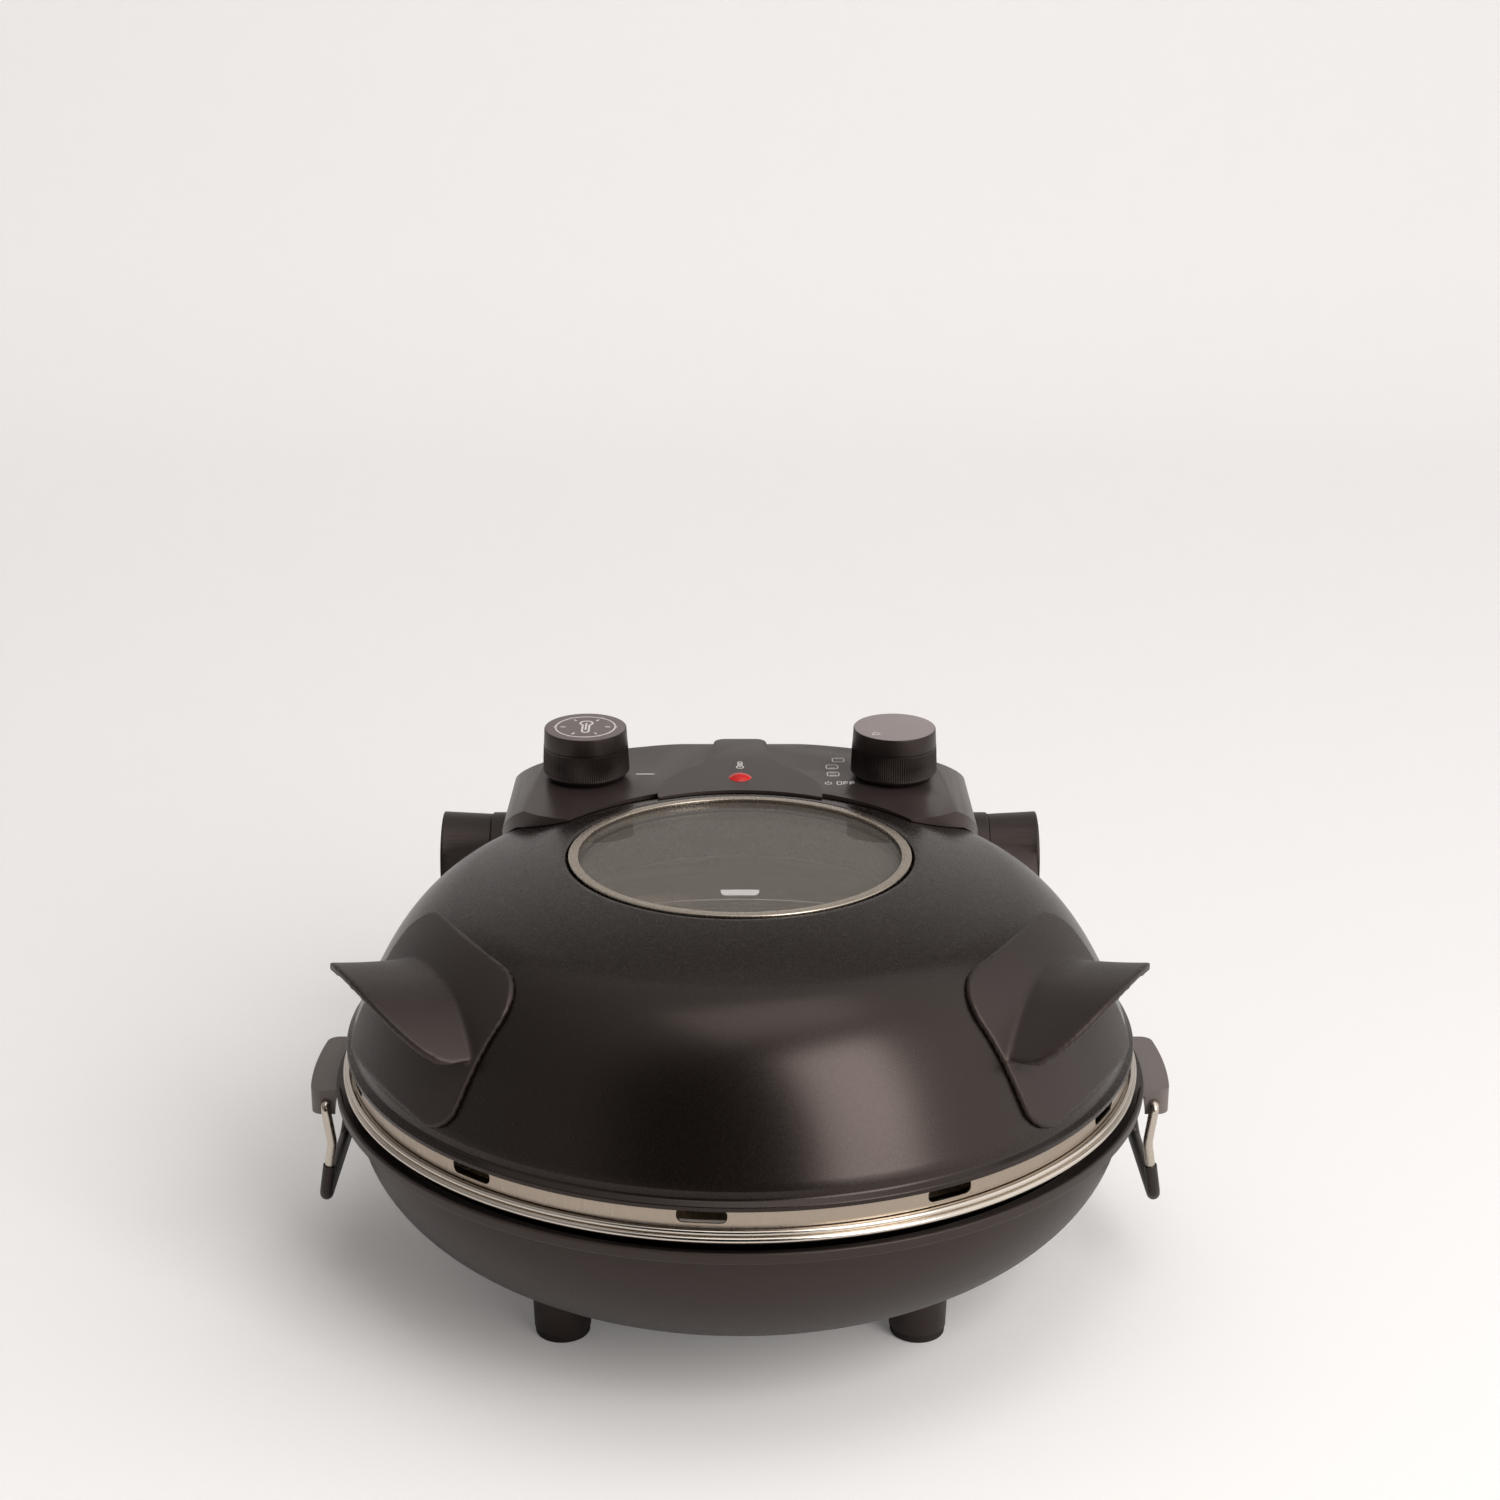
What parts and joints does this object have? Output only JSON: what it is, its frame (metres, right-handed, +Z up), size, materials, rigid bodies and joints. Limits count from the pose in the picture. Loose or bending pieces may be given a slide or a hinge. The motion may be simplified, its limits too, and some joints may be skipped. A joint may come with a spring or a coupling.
{
  "type": "tabletop electric stone oven",
  "caption": "Domed tabletop electric stone oven: bowl base with a baking stone, hinged lid with a round window, side grips, rear control panel with knobs and a lamp, and hanging side bails.",
  "frame": {"origin": "on the surface it stands on, in the middle of its footprint", "axes": "+X to the right seen from the front, +Y to the rear hinge, +Z up"},
  "size_m": [0.3572, 0.362, 0.2012],
  "materials": {
    "bowl_paint": "matt black baked enamel",
    "dome_paint": "satin black baked enamel",
    "pan_steel": "brushed bright steel",
    "stone": "unglazed cordierite stone",
    "element_sheath": "dull heat-darkened sheath",
    "plain_steel": "bright drawn steel",
    "ceramic": "white unglazed ceramic",
    "black_plastic": "fine moulded texture",
    "knob_plastic": "satin, ribbed skirt",
    "lamp_red": "clear red lens",
    "window_glass": "polished flat glass",
    "rubber": "dull black"
  },
  "bodies": {
    "base": {"base_bowl": "bowl_paint", "heat_pan": "pan_steel", "pizza_stone": "stone", "lower_element": "element_sheath", "lower_element_clips": "plain_steel", "pan_posts": "plain_steel", "terminal_block": "ceramic", "cord_gland": "black_plastic", "left_ear": "bowl_paint", "right_ear": "bowl_paint", "left_hinge_arm": "black_plastic", "right_hinge_arm": "black_plastic", "left_hinge_pin": "plain_steel", "right_hinge_pin": "plain_steel", "foot_screws": "plain_steel", "ear_screws": "plain_steel", "hinge_screws": "plain_steel", "front_left_foot": "black_plastic", "front_right_foot": "black_plastic", "rear_left_foot": "black_plastic", "rear_right_foot": "black_plastic", "front_left_pad": "rubber", "front_right_pad": "rubber", "rear_left_pad": "rubber", "rear_right_pad": "rubber"},
    "lid": {"lid_dome": "dome_paint", "lid_liner": "pan_steel", "vent_band": "pan_steel", "window_ring": "pan_steel", "window_glass": "window_glass", "window_gasket": "rubber", "window_well": "pan_steel", "upper_element": "element_sheath", "upper_element_clips": "plain_steel", "grip_screws": "plain_steel", "left_grip": "black_plastic", "right_grip": "black_plastic", "control_housing": "black_plastic", "rear_cover": "black_plastic", "rear_cover_screws": "plain_steel", "left_hinge_collar": "black_plastic", "right_hinge_collar": "black_plastic", "lamp_lens": "lamp_red", "lamp_body": "black_plastic", "thermostat": "black_plastic", "selector_switch": "black_plastic"},
    "temperature_knob": {"temperature_knob_skirt": "knob_plastic", "temperature_knob_cap": "knob_plastic", "temperature_shaft": "plain_steel"},
    "mode_knob": {"mode_knob_skirt": "knob_plastic", "mode_knob_cap": "knob_plastic", "mode_shaft": "plain_steel"},
    "left_bail": {"left_bail_wire": "plain_steel", "left_bail_sleeve": "rubber"},
    "right_bail": {"right_bail_wire": "plain_steel", "right_bail_sleeve": "rubber"}
  },
  "joints": [
    {"name": "lid_hinge", "type": "hinge", "parent": "base", "child": "lid", "pos_m": [0, 0.159, 0.113], "axis": [-1, 0, 0], "range_deg": [0, 100]},
    {"name": "temperature_turn", "type": "hinge", "parent": "lid", "child": "temperature_knob", "pos_m": [-0.069, 0.091, 0.17752], "axis": [0, -0.0384, 0.9993], "range_deg": [-270, 0]},
    {"name": "mode_turn", "type": "hinge", "parent": "lid", "child": "mode_knob", "pos_m": [0.069, 0.091, 0.17752], "axis": [0, -0.0384, 0.9993], "range_deg": [-90, 0]},
    {"name": "left_bail_swing", "type": "hinge", "parent": "base", "child": "left_bail", "pos_m": [-0.1705, -0.013, 0.0785], "axis": [0, 1, 0], "range_deg": [0, 165]},
    {"name": "right_bail_swing", "type": "hinge", "parent": "base", "child": "right_bail", "pos_m": [0.1705, -0.013, 0.0785], "axis": [0, -1, 0], "range_deg": [0, 165]}
  ]
}
